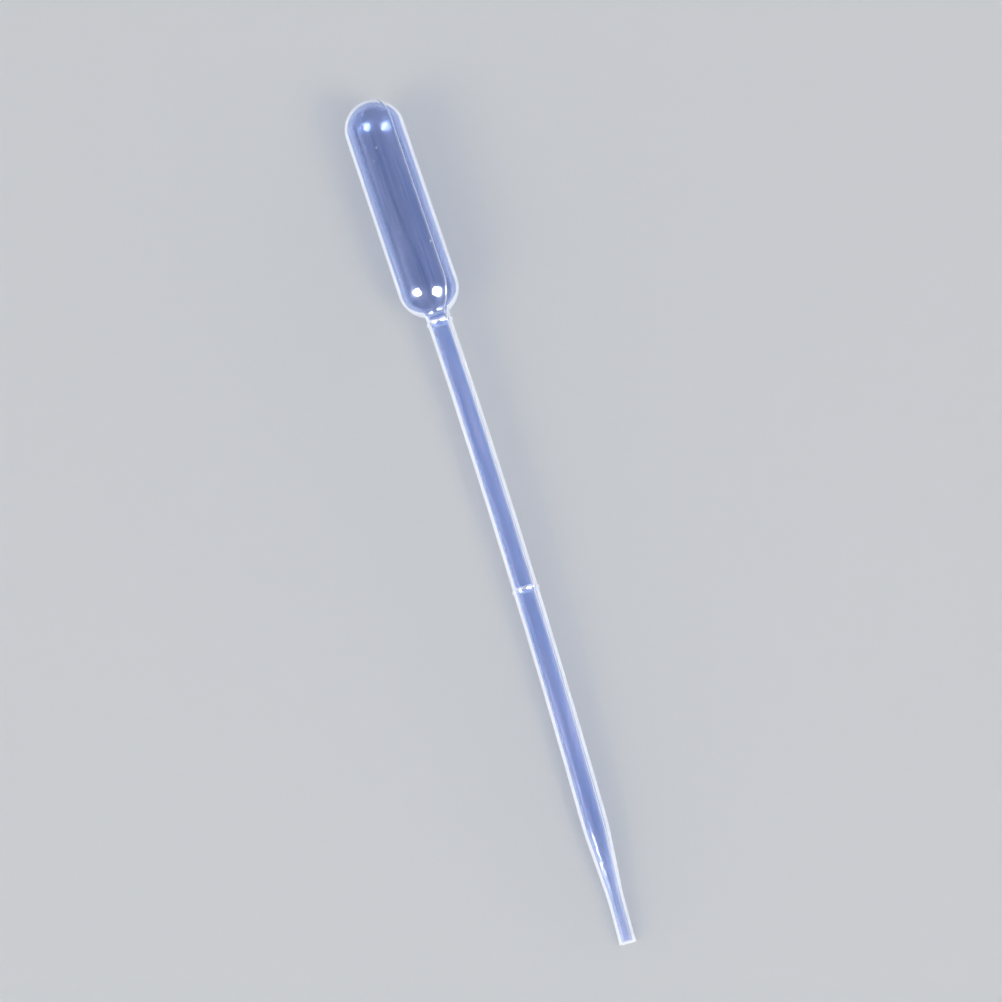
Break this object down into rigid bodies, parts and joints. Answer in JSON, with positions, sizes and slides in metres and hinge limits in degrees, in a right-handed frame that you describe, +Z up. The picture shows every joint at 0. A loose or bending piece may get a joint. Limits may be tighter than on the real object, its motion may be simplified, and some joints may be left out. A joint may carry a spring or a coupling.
{
  "type": "plastic dropper pipette",
  "caption": "Plastic dropper pipette with a squeeze bulb, a slim hollow stem with raised volume rings and a narrow open tip. Squeezed and let go, it draws up liquid and drips it out.",
  "frame": {"origin": "centre of the pipette's bounding box in plan, on the surface it lies on", "axes": "+X runs along the pipette from the round end of its bulb to its open tip, +Z is up, and +Y is the side its stem bows towards"},
  "size_m": [0.12, 0.0084, 0.0091],
  "materials": {
    "natural_ldpe": "translucent natural polyethylene, semi-gloss"
  },
  "bodies": {
    "root": {"pipette": "natural_ldpe"}
  },
  "joints": []
}
